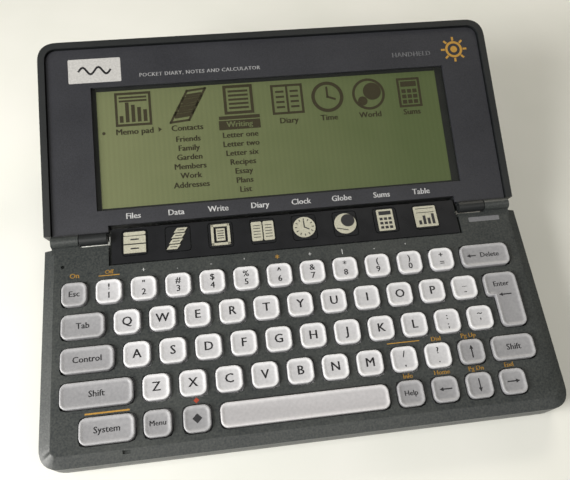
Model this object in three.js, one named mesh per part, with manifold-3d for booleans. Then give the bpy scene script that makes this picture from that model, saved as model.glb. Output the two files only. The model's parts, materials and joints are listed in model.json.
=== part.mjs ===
// Clamshell pocket computer: a keyboard base, a display lid and a battery barrel between them.
// Millimetres. The device frame has X to the right, Y from the front edge to the back and Z up from
// the base's underside. The finished model leans on its front feet and on the barrel's rear feet.

import * as THREE from 'three';
import { mergeVertices } from 'three/addons/utils/BufferGeometryUtils.js';
import Module from 'manifold-3d';

const wasm = await Module();
wasm.setup();

// ---------- driving dimensions ----------

const gap = 0.3;               // clearance between pieces that touch
const farAway = 200;           // reach of a cut that runs past the object

const caseWidth = 165;
const caseCorner = 7;          // plan radius of the outer corners
const wall = 2;

const baseDepth = 70.5;        // front edge to the back of the hinge ears
const deckHeight = 12;         // underside to deck
const deckThickness = 1.2;
const splitHeight = 7.4;       // underside of the upper case
const deckChamfer = { inset: 3.4, drop: 1.2 };
const bottomChamfer = { inset: 2.2, drop: 2.2 };
const floorThickness = 1.5;
const earWidth = 21.2;         // hinge ears, from the case's side to the barrel bay
const barrelBayWall = 1;
const bayReach = 13.1;         // rear wall of the base between the ears, in front of the hinge
const overhangReach = 9.9;     // rear edge of the deck over the barrel, in front of the hinge

const hingeLift = 0.5;         // hinge axis above the deck
const openAngle = 166.35;      // lid opening, face to face
const knuckleRadius = 2;
const knuckleSplitInset = 11.5; // where the lid's knuckle meets the base's, from the case's side
const knuckleInset = 2.5;
const knuckleNeck = 0.4;       // how far the knuckle's neck reaches in front of its axis
const pinRadius = 0.75;

const lidLength = 72.8;        // hinge axis to the lid's far edge
const lidThickness = 9;
const lidRim = { width: 2.3, height: 1 };
const lidBackChamfer = { inset: 2.6, drop: 2.6 };
const lidMiddleStart = 4.6;    // lower edge of the lid over the button strip
const lidWall = 1.6;
const bezelThickness = 1.2;
const windowMargin = 17.8;      // from the case's side
const windowSpan = [10, 55.2];
const windowThickness = 0.6;
const glassThickness = 1.6;
const glassMargin = 1.6;

const barrelWall = 1;
const barrelEndGap = 0.4;
const barrelFrontGap = 0.5;
const barrelDrop = 0.9;        // top of the barrel's round below the hinge
const pivotOffset = { y: 2.6, z: 1.8 };
const pivotRadius = 0.65;
const pivotLength = 1.5;
const padReach = { front: 9.4, rear: 3.5 };  // button strip, either side of the hinge
const padThickness = 1.4;
const stripDrop = 0.2;         // top of the strip below the deck
const stripThickness = 0.5;
const cellRadius = 7;
const cellLength = 49.3;
const cellNub = { radius: 2.7, length: 1.2 };
const doorAngles = [-55, 25];  // battery door, degrees from straight back
const doorInset = 4.9;         // from each end of the barrel
const doorThickness = 0.8;

const buttonCount = 8;
const buttonPitch = 14.57;
const buttonShift = -1.6;      // middle of the button row from the centre line
const buttonWidth = 8.2;
const buttonDepth = 9.2;
const buttonOffset = 2.1;      // in front of the hinge
const buttonRise = 0.35;       // above the strip
const buttonTravel = 0.3;

const keyPitch = 11.24;
const rowPitch = 10.975;
const frontRowY = 9.8;
const keyWidth = 8.4;
const keyDepth = 8.1;
const keyCorner = 1.8;
const keyRise = 1.1;           // above the deck
const keyTravel = 0.8;
const keyBevel = { inset: 0.5, drop: 0.4 };
const keyClearance = 0.4;
const keyFlange = 0.6;         // retaining edge under the deck
const keyWebThickness = 0.7;
const numberRowX = -61.2;      // centre of the first square cap of the number row
const keyboardMargin = { left: 6.15, right: 7.2 };  // outer edges of the wide caps
const systemLeft = -70.5;
const systemRight = -53.9;
const diamondX = -35.3;

const domeThickness = 0.6;
const backplateThickness = 0.6;
const backplateMargin = 7.6;
const backplateFront = 3.2;
const boardDrop = 2.9;         // below the backplate
const boardThickness = 1;
const boardHalf = 42;
const boardFront = 6;
const boardRearGap = 3.7;
const chipHeight = 1;
const chipShape = 0.8;         // depth over width
const chips = [                // centre and half width
  { x: -24, y: 42, size: 7 }, { x: 0, y: 40, size: 9 }, { x: 26, y: 44, size: 6 },
  { x: -6, y: 16, size: 6 }, { x: 30, y: 14, size: 5 },
];
const ribHalf = 43.6;
const ribThickness = 1.2;

const frontScrewInset = { x: 5.2, y: 5 };
const rearScrewOffset = { x: 6.5, y: 7.8 };  // from the ear's inner side and from the hinge
const screwHead = { radius: 1.7, height: 1.1 };
const screwShank = 0.8;
const bossRadius = 2.1;

const cardDoorSpan = [13, 45];
const cardDoorTop = 6.9;
const cardDoorAxis = { inset: 1.05, z: 3.2 };
const cardDoorThickness = 1.4;
const cardStub = { radius: 0.4, length: 0.9 };
const cardGrip = { half: 6, depth: 0.5, near: 1, far: 2 };
const cardLength = 32;
const cardWidth = 30;
const cardThickness = 3.6;

const footRadius = 5;
const footRecess = 0.5;
const frontFootInset = 22.5;
const frontFootY = 9;
const frontFootHeight = 0.8;
const rearFootInset = 11.9;    // from each end of the barrel
const rearFootHalf = { x: 7, y: 3.2 };
const rearFootHeight = 0.9;
const barrelRecess = 0.4;

const portInset = 0.4;         // sockets behind the case's side
const serialSize = { length: 8.1, height: 3.4, front: 15.8, rear: 7.4 };  // front and rear of the hinge
const serialSocket = { depth: 4, side: 1.2, top: 0.8 };
const powerSize = { length: 9.1, height: 4.2, front: 14.8, rear: 8.3 };
const powerSocket = { depth: 6, radius: 1.5 };
const portZ = 2.6;
const speakerPlace = [-24, 30];
const speakerRadius = 9;
const speakerHeight = 2.2;
const soundHole = { radius: 0.7, circle: 4, count: 6 };
const backupPlace = [20, 30];
const backupRadius = 8;
const backupHeight = 2;
const mike = { inset: 6.2, offset: 8.9, radius: 0.6 };
const latchSlot = { x: [-57.9, -55.5], y: [2.2, 3.2] };

// ---------- derived places ----------

const half = caseWidth / 2;
const lidRestAngle = 180 - openAngle;
const hingeY = baseDepth + knuckleRadius + gap;
const hingeZ = deckHeight + hingeLift;
const lidEarStart = knuckleRadius + gap;  // lower edge of the lid beside the knuckles
const knuckleSplit = half - knuckleSplitInset;
const knuckleOuter = half - knuckleInset;
const earInner = half - earWidth;
const deckOverhang = hingeY - overhangReach;
const windowHalfWidth = half - windowMargin;
const barrelRadius = cellRadius + gap + barrelWall;
const barrelBayFront = hingeY - bayReach;
const barrelY = barrelBayFront + barrelFrontGap + barrelRadius;
const barrelZ = hingeZ - barrelDrop - barrelRadius;
const barrelHalf = earInner - barrelEndGap;
const barrelPivotY = hingeY - pivotOffset.y;
const barrelPivotZ = hingeZ - pivotOffset.z;
const padSpan = [hingeY - padReach.front, hingeY + padReach.rear];
const stripTop = deckHeight - stripDrop;
const doorHalf = barrelHalf - doorInset;
const buttonY = hingeY - buttonOffset;
const keyboardLeft = keyboardMargin.left - half;
const keyboardRight = half - keyboardMargin.right;
const backplateHalf = half - backplateMargin;
const frontScrew = [half - frontScrewInset.x, frontScrewInset.y];
const rearScrew = [earInner + rearScrewOffset.x, hingeY - rearScrewOffset.y];
const frontFootX = half - frontFootInset;
const rearFootX = barrelHalf - rearFootInset;
const deckUnder = deckHeight - deckThickness;
const keyTop = deckHeight + keyRise;
const webTop = deckUnder - gap;
const webBottom = webTop - keyWebThickness;
const domeTop = webBottom - keyTravel - gap;
const domeBottom = domeTop - domeThickness;
const backplateTop = domeBottom - gap;
const backplateBottom = backplateTop - backplateThickness;
const boardZ = backplateBottom - boardDrop;
const boardSpan = [boardFront, barrelBayFront - boardRearGap];
const padTop = stripTop - stripThickness - gap;
const rearWallInside = barrelBayFront - barrelBayWall;
const topRowX = numberRowX + keyPitch / 2;
const homeRowX = topRowX + keyPitch / 4;
const bottomRowX = homeRowX + keyPitch / 2;
const keyGap = keyPitch - keyWidth;
const arrowX = bottomRowX + 9 * keyPitch;
const rowY = (row) => frontRowY + row * rowPitch;
const rearTableZ = barrelZ - barrelRadius - rearFootHeight;
const tableSlope = (rearTableZ + frontFootHeight) / (barrelY - frontFootY);
const tableZ = (y) => -frontFootHeight + (y - frontFootY) * tableSlope;

// ---------- materials ----------

function plastic(color, roughness = 0.55) {
  return new THREE.MeshStandardMaterial({ color, roughness, metalness: 0 });
}

function metal(color, roughness = 0.35) {
  return new THREE.MeshStandardMaterial({ color, roughness, metalness: 0.9 });
}

const charcoal = plastic(0x3c4142);
const bezelGrey = plastic(0x47474c);
const stripBlack = plastic(0x232427, 0.4);
const letterCap = plastic(0xdcdcde, 0.45);
const functionCap = plastic(0xb0b0b4, 0.45);
const spaceCap = plastic(0xcfcccf, 0.45);
const buttonBeige = plastic(0xb5b3a5, 0.45);
const rubber = plastic(0x1d1d1f, 0.9);
const silicone = plastic(0x8c8f90, 0.8);
const boardGreen = plastic(0x2f5b3a, 0.6);
const portBlack = plastic(0x161618, 0.5);
const cellJacket = plastic(0x9a7a3c, 0.4);
const cardGrey = plastic(0x6a6c70, 0.5);
const liquidCrystal = plastic(0x6f7752, 0.25);
const clearCover = plastic(0x8a9180, 0.1);
const steel = metal(0xa8abad);
const plated = metal(0xc4c6c8, 0.25);

// ---------- solids ----------

function toSolid(geometry) {
  const bare = geometry.index ? geometry : geometry.clone();
  bare.deleteAttribute('normal');
  bare.deleteAttribute('uv');
  const merged = mergeVertices(bare, 1e-4);
  const mesh = new wasm.Mesh({
    numProp: 3,
    vertProperties: new Float32Array(merged.attributes.position.array),
    triVerts: new Uint32Array(merged.index.array),
  });
  mesh.merge();
  return new wasm.Manifold(mesh);
}

function toGeometry(solid) {
  const mesh = solid.getMesh();
  const geometry = new THREE.BufferGeometry();
  geometry.setAttribute('position', new THREE.BufferAttribute(mesh.vertProperties, 3));
  geometry.setIndex(new THREE.BufferAttribute(mesh.triVerts, 1));
  geometry.computeVertexNormals();
  return geometry;
}

function join(...solids) {
  return solids.reduce((whole, solid) => whole.add(solid));
}

function cut(solid, ...tools) {
  return tools.reduce((rest, tool) => rest.subtract(tool), solid);
}

function mirrored(make) {
  return [make(-1), make(1)];
}

function box([x0, x1], [y0, y1], [z0, z1]) {
  const [left, right] = x0 < x1 ? [x0, x1] : [x1, x0];
  const geometry = new THREE.BoxGeometry(right - left, y1 - y0, z1 - z0);
  geometry.translate((left + right) / 2, (y0 + y1) / 2, (z0 + z1) / 2);
  return toSolid(geometry);
}

// A closed outline through corners [x, y, radius], each rounded by its own radius.
function outline(corners) {
  const shape = new THREE.Shape();
  corners.forEach(([x, y, radius], i) => {
    const corner = new THREE.Vector2(x, y);
    const before = new THREE.Vector2(...corners.at(i - 1)).sub(corner).setLength(radius).add(corner);
    const after = new THREE.Vector2(...corners[(i + 1) % corners.length]);
    after.sub(corner).setLength(radius).add(corner);
    if (i === 0) shape.moveTo(before.x, before.y);
    else shape.lineTo(before.x, before.y);
    if (radius > 0) shape.quadraticCurveTo(x, y, after.x, after.y);
  });
  shape.closePath();
  return shape;
}

function rectangle([x0, x1], [y0, y1], radius = 0, rearRadius = radius) {
  return outline([[x0, y0, radius], [x1, y0, radius], [x1, y1, rearRadius], [x0, y1, rearRadius]]);
}

function everywhere(ySpan, zSpan) {
  return box([-farAway, farAway], ySpan, zSpan);
}

function prism(shape, [z0, z1], curveSegments = 6) {
  const geometry = new THREE.ExtrudeGeometry(shape, { depth: z1 - z0, bevelEnabled: false, curveSegments });
  geometry.translate(0, 0, z0);
  return toSolid(geometry);
}

// A prism whose two ends are drawn in by a bevel of the given inset and drop.
function bevelled(shape, [z0, z1], { inset, drop }, bevelSegments = 1, curveSegments = 6) {
  const geometry = new THREE.ExtrudeGeometry(shape, {
    depth: z1 - z0 - 2 * drop, curveSegments, bevelEnabled: true, bevelSegments,
    bevelThickness: drop, bevelSize: inset, bevelOffset: -inset,
  });
  geometry.translate(0, 0, z0 + drop);
  return toSolid(geometry);
}

// A section drawn in Y and Z, run along X.
function along([x0, x1], section, curveSegments = 6) {
  const [left, right] = x0 < x1 ? [x0, x1] : [x1, x0];
  const geometry = new THREE.ExtrudeGeometry(section, {
    depth: right - left, bevelEnabled: false, curveSegments,
  });
  geometry.translate(0, 0, left);
  const turn = new THREE.Matrix4().makeBasis(
    new THREE.Vector3(0, 1, 0), new THREE.Vector3(0, 0, 1), new THREE.Vector3(1, 0, 0));
  geometry.applyMatrix4(turn);
  return toSolid(geometry);
}

function rodX(xSpan, [y, z], radius, sides = 16) {
  const circle = new THREE.Shape();
  circle.absarc(y, z, radius, 0, 2 * Math.PI);
  return along(xSpan, circle, sides);
}

function rodZ([x, y], radius, zSpan, sides = 16) {
  const circle = new THREE.Shape();
  circle.absarc(x, y, radius, 0, 2 * Math.PI);
  return prism(circle, zSpan, sides);
}

function rodY([x, z], radius, [y0, y1], sides = 12) {
  const geometry = new THREE.CylinderGeometry(radius, radius, y1 - y0, sides);
  geometry.translate(x, (y0 + y1) / 2, z);
  return toSolid(geometry);
}

function node(name, solid, material, parent) {
  const mesh = new THREE.Mesh(toGeometry(solid), material);
  mesh.name = name;
  parent.add(mesh);
}

// ---------- base shells ----------

// Both shells run on past the hinge, where they are cut square.
const baseOutline = rectangle([-half, half], [0, baseDepth + 2 * caseCorner], caseCorner);

function baseCavity(zSpan) {
  const plan = rectangle([wall - half, half - wall], [wall, rearWallInside], caseCorner - wall, 0);
  const front = prism(plan, zSpan);
  const ears = mirrored((side) => box([side * (earInner + wall), side * (half - wall)],
    [rearWallInside - wall, baseDepth - wall], zSpan));
  return join(front, ...ears);
}

function barrelBay(deckCut) {
  const under = box([-earInner, earInner], [barrelBayFront, farAway], [-farAway, deckUnder]);
  const over = box([-earInner, earInner], [deckOverhang, farAway], [deckCut, farAway]);
  return join(under, over);
}

function pivotHoles() {
  const reach = pivotLength + gap;
  return mirrored((side) => rodX([side * (earInner - gap), side * (earInner + reach)],
    [barrelPivotY, barrelPivotZ], pivotRadius + gap));
}

// Screw posts hang from the upper case and stand on the lower one.
const screwPlaces = [frontScrew, rearScrew].flatMap(([x, y]) => [[-x, y], [x, y]]);
const bossBottom = floorThickness + gap;

function baseKnuckle(side) {
  const xSpan = [side * knuckleSplit, side * knuckleOuter];
  const barrel = rodX(xSpan, [hingeY, hingeZ], knuckleRadius);
  const web = box(xSpan, [baseDepth - wall, hingeY], [splitHeight + 1, hingeZ]);
  const roof = box(xSpan, [0, baseDepth + gap], [deckHeight, farAway]);
  return cut(join(barrel, web), roof);
}

function pinHole(side) {
  return rodX([side * (earInner - wall), side * (knuckleOuter - wall / 2)], [hingeY, hingeZ], pinRadius + gap);
}

function upperCase() {
  const outside = bevelled(baseOutline, [-farAway, deckHeight], deckChamfer, 1, 8);
  const above = everywhere([-1, baseDepth], [splitHeight, farAway]);
  let shell = cut(outside.intersect(above), baseCavity([-1, deckUnder]));
  const bosses = screwPlaces.map((place) => rodZ(place, bossRadius, [bossBottom, deckUnder + gap], 10));
  shell = join(shell, ...bosses, ...mirrored(baseKnuckle));
  const bores = screwPlaces.map((place) => rodZ(place, screwShank + gap, [0, deckUnder - wall], 8));
  const mikeHole = rodZ([mike.inset - half, hingeY - mike.offset], mike.radius, [deckUnder + gap, farAway], 8);
  const latch = box(latchSlot.x, latchSlot.y, [deckUnder + gap, farAway]);
  return cut(shell, barrelBay(splitHeight), ...bores, ...mirrored(pinHole), ...pivotHoles(), mikeHole, latch,
    ...keyHoles());
}

function cardOpening(side) {
  const [front, rear] = cardDoorSpan;
  const slot = box([side * (half - wall - 1), side * farAway], [front - gap, rear + gap],
    [cardDoorAxis.z - cardDoorThickness / 2 - gap, farAway]);
  const sockets = rodY([side * (half - cardDoorAxis.inset), cardDoorAxis.z], cardStub.radius + gap,
    [front - cardStub.length - gap, rear + cardStub.length + gap]);
  return join(slot, sockets);
}

const portPlace = ({ length, height, front, rear }) => ({
  x: [half - portInset - length, half - portInset],
  y: [hingeY - front, hingeY - rear],
  z: [portZ, portZ + height],
});
const serialPlace = portPlace(serialSize);
const powerPlace = portPlace(powerSize);

function portWindow({ y, z }, side) {
  return box([side * (half - wall - 1), side * farAway], [y[0] - gap, y[1] + gap], [z[0] - gap, z[1] + gap]);
}

function soundHoles() {
  const { radius, circle, count } = soundHole;
  const around = Array.from({ length: count }, (_, i) => {
    const angle = (i / count) * 2 * Math.PI;
    return [circle * Math.cos(angle), circle * Math.sin(angle)];
  });
  return [[0, 0], ...around].map(([x, y]) =>
    rodZ([speakerPlace[0] + x, speakerPlace[1] + y], radius, [-1, wall], 6));
}

function lowerCase() {
  const outside = bevelled(baseOutline, [0, farAway], bottomChamfer, 2, 8);
  const below = everywhere([-1, baseDepth], [-1, splitHeight - gap]);
  let shell = cut(outside.intersect(below), baseCavity([floorThickness, farAway]));
  const ribSpan = [ribHalf - ribThickness / 2, ribHalf + ribThickness / 2];
  const ribs = mirrored((side) => box(ribSpan.map((x) => side * x),
    [wall - gap, rearWallInside + gap], [floorThickness - gap, backplateBottom - gap]));
  shell = join(shell, ...ribs);
  const sink = screwHead.height + gap;
  const heads = screwPlaces.map((place) => rodZ(place, screwHead.radius + gap, [-1, sink], 10));
  const bores = screwPlaces.map((place) => rodZ(place, screwShank + gap, [-1, wall], 8));
  const feet = mirrored((side) =>
    rodZ([side * frontFootX, frontFootY], footRadius + gap, [-1, footRecess], 16));
  return cut(shell, barrelBay(0), ...heads, ...bores, ...feet, ...mirrored(cardOpening), ...soundHoles(),
    portWindow(serialPlace, -1), portWindow(powerPlace, 1));
}

function caseScrew([x, y]) {
  const head = rodZ([x, y], screwHead.radius, [gap, screwHead.height], 10);
  const slot = box([x - screwHead.radius, x + screwHead.radius], [y - gap, y + gap], [0, 2 * gap]);
  return join(cut(head, slot), rodZ([x, y], screwShank, [screwHead.height - gap / 2, splitHeight], 6));
}

// ---------- keyboard ----------

function keyOutline([x0, x1], [y0, y1], grow = 0) {
  return rectangle([x0 - grow, x1 + grow], [y0 - grow, y1 + grow], keyCorner + Math.max(grow, 0));
}

const squareKey = (x, y) => ({
  x: [x - keyWidth / 2, x + keyWidth / 2], y: [y - keyDepth / 2, y + keyDepth / 2],
});
const wideKey = (left, right, row, depth = keyDepth) => ({
  x: [left, right], y: [rowY(row) - depth / 2, rowY(row) + depth / 2],
});

const keyRows = {
  number_row_keys: { firstX: numberRowX, count: 11, row: 4 },
  top_row_keys: { firstX: topRowX, count: 11, row: 3 },
  home_row_keys: { firstX: homeRowX, count: 11, row: 2 },
  bottom_row_keys: { firstX: bottomRowX, count: 9, row: 1 },
};
const rowStart = ({ firstX }) => firstX - keyWidth / 2;
const rowEnd = ({ firstX, count }) => firstX + (count - 1) * keyPitch + keyWidth / 2;
const spaceDepth = 7.6;

const shapedKeys = {
  esc: { ...wideKey(keyboardLeft, rowStart(keyRows.number_row_keys) - keyGap, 4), cap: functionCap },
  delete: { ...wideKey(rowEnd(keyRows.number_row_keys) + keyGap, keyboardRight, 4), cap: functionCap },
  tab: { ...wideKey(keyboardLeft, rowStart(keyRows.top_row_keys) - keyGap, 3), cap: functionCap },
  control: { ...wideKey(keyboardLeft, rowStart(keyRows.home_row_keys) - keyGap, 2), cap: functionCap },
  shift_left: { ...wideKey(keyboardLeft, rowStart(keyRows.bottom_row_keys) - keyGap, 1), cap: functionCap },
  up: { ...squareKey(arrowX, rowY(1)), cap: functionCap },
  shift_right: { ...wideKey(arrowX + keyWidth / 2 + keyGap, keyboardRight, 1), cap: functionCap },
  system: { ...wideKey(systemLeft, systemRight, 0), cap: functionCap },
  menu: { ...squareKey(bottomRowX, rowY(0)), cap: functionCap },
  diamond: { ...squareKey(diamondX, rowY(0)), cap: functionCap },
  space: {
    ...wideKey(diamondX + keyWidth / 2 + keyGap, arrowX - 2 * keyPitch - keyWidth / 2 - keyGap, 0, spaceDepth),
    cap: spaceCap,
  },
  help: { ...squareKey(arrowX - 2 * keyPitch, rowY(0)), cap: functionCap },
  left: { ...squareKey(arrowX - keyPitch, rowY(0)), cap: functionCap },
  down: { ...squareKey(arrowX, rowY(0)), cap: functionCap },
  right: { ...squareKey(arrowX + keyPitch, rowY(0)), cap: functionCap },
};

// The Enter key is an L: a wide head in the top row over a narrower foot in the home row.
function enterOutline(grow = 0) {
  const right = keyboardRight + grow;
  const headLeft = rowEnd(keyRows.top_row_keys) + keyGap - grow;
  const footLeft = rowEnd(keyRows.home_row_keys) + keyGap - grow;
  const bottom = rowY(2) - keyDepth / 2 - grow;
  const step = rowY(3) - keyDepth / 2 - grow;
  const top = rowY(3) + keyDepth / 2 + grow;
  const radius = keyCorner + Math.max(grow, 0);
  return outline([[footLeft, bottom, radius], [right, bottom, radius], [right, top, radius],
    [headLeft, top, radius], [headLeft, step, radius / 2], [footLeft, step, 0]]);
}

const keyCurve = 2;            // segments in each key corner

function cap(shape) {
  return bevelled(shape, [webBottom, keyTop], keyBevel, 1, keyCurve);
}

function hole(shape) {
  return prism(shape, [webBottom, farAway], keyCurve);
}

function keyRow({ firstX, count, row }) {
  const last = firstX + (count - 1) * keyPitch;
  const web = box([firstX - keyWidth / 2 - keyFlange, last + keyWidth / 2 + keyFlange],
    [rowY(row) - keyDepth / 2 - keyFlange, rowY(row) + keyDepth / 2 + keyFlange], [webBottom, webTop]);
  const caps = Array.from({ length: count }, (_, i) => {
    const { x, y } = squareKey(firstX + i * keyPitch, rowY(row));
    return cap(keyOutline(x, y));
  });
  return join(web, ...caps);
}

function shapedKey({ x, y }) {
  const flange = box([x[0] - keyFlange, x[1] + keyFlange], [y[0] - keyFlange, y[1] + keyFlange],
    [webBottom, webTop]);
  return join(flange, cap(keyOutline(x, y)));
}

function enterKey() {
  return join(prism(enterOutline(keyFlange), [webBottom, webTop], keyCurve), cap(enterOutline()));
}

function keyHoles() {
  const squares = Object.values(keyRows).flatMap(({ firstX, count, row }) =>
    Array.from({ length: count }, (_, i) => squareKey(firstX + i * keyPitch, rowY(row))));
  const all = [...squares, ...Object.values(shapedKeys)];
  return [...all.map(({ x, y }) => hole(keyOutline(x, y, keyClearance))), hole(enterOutline(keyClearance))];
}

// ---------- inside the base ----------

function keyboardPlate(zSpan, inset) {
  return prism(rectangle([inset - backplateHalf, backplateHalf - inset],
    [backplateFront + inset, rearWallInside - gap - inset], 1), zSpan, 2);
}

function floorDisc(place, radius, height) {
  return rodZ(place, radius, [bossBottom, bossBottom + height]);
}

function mainBoard() {
  const top = boardZ + boardThickness;
  const board = box([-boardHalf, boardHalf], boardSpan, [boardZ, top]);
  const packages = chips.map(({ x, y, size }) =>
    box([x - size, x + size], [y - size * chipShape, y + size * chipShape], [top - gap, top + chipHeight]));
  return join(board, ...packages);
}

function serialPort() {
  const { x, y, z } = serialPlace;
  const { depth, side, top } = serialSocket;
  const socket = box([-x[1] - 1, depth - x[1]], [y[0] + side, y[1] - side], [z[0] + top, z[1] - top]);
  return cut(box([-x[1], -x[0]], y, z), socket);
}

function powerJack() {
  const { x, y, z } = powerPlace;
  const middle = [(y[0] + y[1]) / 2, (z[0] + z[1]) / 2];
  return cut(box(x, y, z), rodX([x[1] - powerSocket.depth, x[1] + 1], middle, powerSocket.radius, 12));
}

function cardDoor(side) {
  const x = half - cardDoorAxis.inset;
  const thick = cardDoorThickness / 2;
  const plate = box([side * (x - thick), side * (x + thick)], cardDoorSpan, [cardDoorAxis.z, cardDoorTop]);
  const heel = rodY([side * x, cardDoorAxis.z], thick, cardDoorSpan);
  const stubs = rodY([side * x, cardDoorAxis.z], cardStub.radius,
    [cardDoorSpan[0] - cardStub.length, cardDoorSpan[1] + cardStub.length]);
  return join(plate, heel, stubs);
}

function memoryCard(side) {
  const outer = half - cardDoorAxis.inset - cardDoorThickness / 2 - gap;
  const middle = (cardDoorSpan[0] + cardDoorSpan[1]) / 2;
  const bottom = floorThickness + gap;
  const body = box([side * (outer - cardLength), side * outer],
    [middle - cardWidth / 2, middle + cardWidth / 2], [bottom, bottom + cardThickness]);
  const grip = box([side * (outer - cardGrip.far), side * (outer - cardGrip.near)],
    [middle - cardGrip.half, middle + cardGrip.half], [bottom + cardThickness - cardGrip.depth, farAway]);
  return cut(body, grip);
}

const aboveTable = along([-half, half], outline([
  [-farAway, tableZ(-farAway), 0], [farAway, tableZ(farAway), 0], [farAway, farAway, 0], [-farAway, farAway, 0],
]));

function frontFoot(side) {
  const pad = rodZ([side * frontFootX, frontFootY], footRadius, [-rearFootHeight * 3, footRecess - gap], 16);
  return pad.intersect(aboveTable);
}

// ---------- battery barrel ----------

function sector(inner, outer, [from, to], grow = 0) {
  const start = THREE.MathUtils.degToRad(from) - grow / outer;
  const end = THREE.MathUtils.degToRad(to) + grow / outer;
  const shape = new THREE.Shape();
  shape.absarc(barrelY, barrelZ, outer, start, end);
  shape.absarc(barrelY, barrelZ, inner, end, start, true);
  shape.closePath();
  return shape;
}

const bayRadius = cellRadius + gap;
const bayHalf = 2 * gap + cellLength + cellNub.length + gap;

function batteryBarrel() {
  const tube = rodX([-barrelHalf, barrelHalf], [barrelY, barrelZ], barrelRadius, 32);
  const flat = everywhere([0, farAway], [padTop, farAway]);
  const pad = box([-barrelHalf, barrelHalf], padSpan, [padTop - padThickness, padTop]);
  const stubs = mirrored((side) => rodX([side * (barrelHalf - gap), side * (barrelHalf + pivotLength)],
    [barrelPivotY, barrelPivotZ], pivotRadius).subtract(
    box([-barrelHalf, barrelHalf], [0, farAway], [padTop, farAway])));
  const bay = rodX([-bayHalf - gap, bayHalf + gap], [barrelY, barrelZ], bayRadius, 20);
  const doorway = along([-doorHalf - gap, doorHalf + gap],
    sector(bayRadius - 1, barrelRadius + 1, doorAngles, gap), 8);
  const inDoorway = box([-bayHalf - gap, bayHalf + gap], [0, farAway], [-farAway, farAway]);
  const ledge = along([-doorHalf - gap, doorHalf + gap],
    sector(barrelRadius - doorThickness - gap, barrelRadius + 1, doorAngles, gap), 8);
  const recesses = mirrored((side) => rearFootRecess(side));
  return cut(join(cut(join(tube, pad), flat), ...stubs), bay, doorway.intersect(inDoorway), ledge, ...recesses);
}

function rearFootRecess(side) {
  const { x, y } = rearFootHalf;
  const block = box([side * (rearFootX - x - gap), side * (rearFootX + x + gap)],
    [barrelY - y - gap, barrelY + y + gap], [-farAway, barrelZ]);
  return cut(block, rodX([-barrelHalf, barrelHalf], [barrelY, barrelZ], barrelRadius - barrelRecess, 32));
}

function rearFoot(side) {
  const { x, y } = rearFootHalf;
  const block = box([side * (rearFootX - x), side * (rearFootX + x)], [barrelY - y, barrelY + y],
    [-farAway, barrelZ - barrelRadius / 2]);
  const core = rodX([-barrelHalf, barrelHalf], [barrelY, barrelZ], barrelRadius - barrelRecess + gap, 32);
  return cut(block, core).intersect(aboveTable);
}

function batteryDoor() {
  const inner = barrelRadius - doorThickness;
  return along([-doorHalf, doorHalf], sector(inner, barrelRadius, doorAngles), 8);
}

function batteryCell(start) {
  const profile = [[0, 0], [cellRadius, 0], [cellRadius, cellLength], [cellNub.radius, cellLength],
    [cellNub.radius, cellLength + cellNub.length], [0, cellLength + cellNub.length]];
  const geometry = new THREE.LatheGeometry(profile.map(([r, z]) => new THREE.Vector2(r, z)), 16);
  geometry.rotateZ(-Math.PI / 2);
  geometry.translate(start, barrelY, barrelZ);
  return toSolid(geometry);
}

const buttonPlace = (i) => buttonShift + (i - (buttonCount - 1) / 2) * buttonPitch;

function buttonShape(i, grow = 0) {
  const x = buttonPlace(i);
  return rectangle([x - buttonWidth / 2 - grow, x + buttonWidth / 2 + grow],
    [buttonY - buttonDepth / 2 - grow, buttonY + buttonDepth / 2 + grow], 1 + grow);
}

function buttonStrip() {
  const reach = barrelHalf - 2 * gap;
  const plate = box([-reach, reach], padSpan, [stripTop - stripThickness, stripTop]);
  const windows = Array.from({ length: buttonCount }, (_, i) => prism(buttonShape(i, gap), [0, farAway], 2));
  return cut(plate, ...windows);
}

function appButton(i) {
  return bevelled(buttonShape(i), [padTop + buttonTravel + 0.05, stripTop + buttonRise],
    { inset: 0.25, drop: 0.2 }, 1, 2);
}

// ---------- lid, drawn flat: y runs from the hinge to the far edge, z is out of its face ----------

function lidOutline(inset, start) {
  return rectangle([inset - half, half - inset], [start, lidLength - inset], 0, caseCorner - inset);
}

function middleCut(start, zSpan) {
  return box([-earInner, earInner], [-farAway, start], zSpan);
}

function lidKnuckle(side) {
  const span = [side * (earInner + gap), side * (knuckleSplit - gap)];
  const barrel = rodX(span, [0, 0], knuckleRadius);
  const web = box(span, [0, lidEarStart + lidWall], [-2 * knuckleRadius, bezelBottom - gap]);
  const neck = box(span, [-knuckleNeck, knuckleRadius - gap], [-2 * knuckleRadius, 0]);
  const bore = rodX([side * earInner, side * knuckleSplit], [0, 0], pinRadius + gap);
  return cut(join(barrel, web, neck), bore);
}

const bezelTop = -lidRim.height;
const bezelBottom = bezelTop - bezelThickness;

function lidShell() {
  const whole = rectangle([-half, half], [lidEarStart - 2 * caseCorner, lidLength], caseCorner);
  const outside = bevelled(whole, [-lidThickness, farAway], lidBackChamfer, 2, 8);
  const face = everywhere([lidEarStart, farAway], [-farAway, 0]);
  const well = prism(lidOutline(lidRim.width, -farAway), [bezelBottom - gap, farAway]);
  const hollowStart = lidMiddleStart + lidWall;
  const hollow = prism(lidOutline(lidRim.width + gap, hollowStart), [lidWall - lidThickness, farAway]);
  const shell = cut(outside.intersect(face), well, hollow, middleCut(lidMiddleStart, [-farAway, farAway]));
  const holes = mirrored((side) =>
    rodX([side * earInner, side * (knuckleSplit + gap)], [0, 0], pinRadius + gap));
  return cut(join(shell, ...mirrored(lidKnuckle)), ...holes);
}

function lidBezel() {
  const inset = lidRim.width + gap;
  const plate = prism(lidOutline(inset, lidEarStart), [bezelBottom, bezelTop]);
  const view = box([-windowHalfWidth, windowHalfWidth], windowSpan, [-farAway, farAway]);
  return cut(plate, view, middleCut(lidMiddleStart, [-farAway, farAway]));
}

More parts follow.
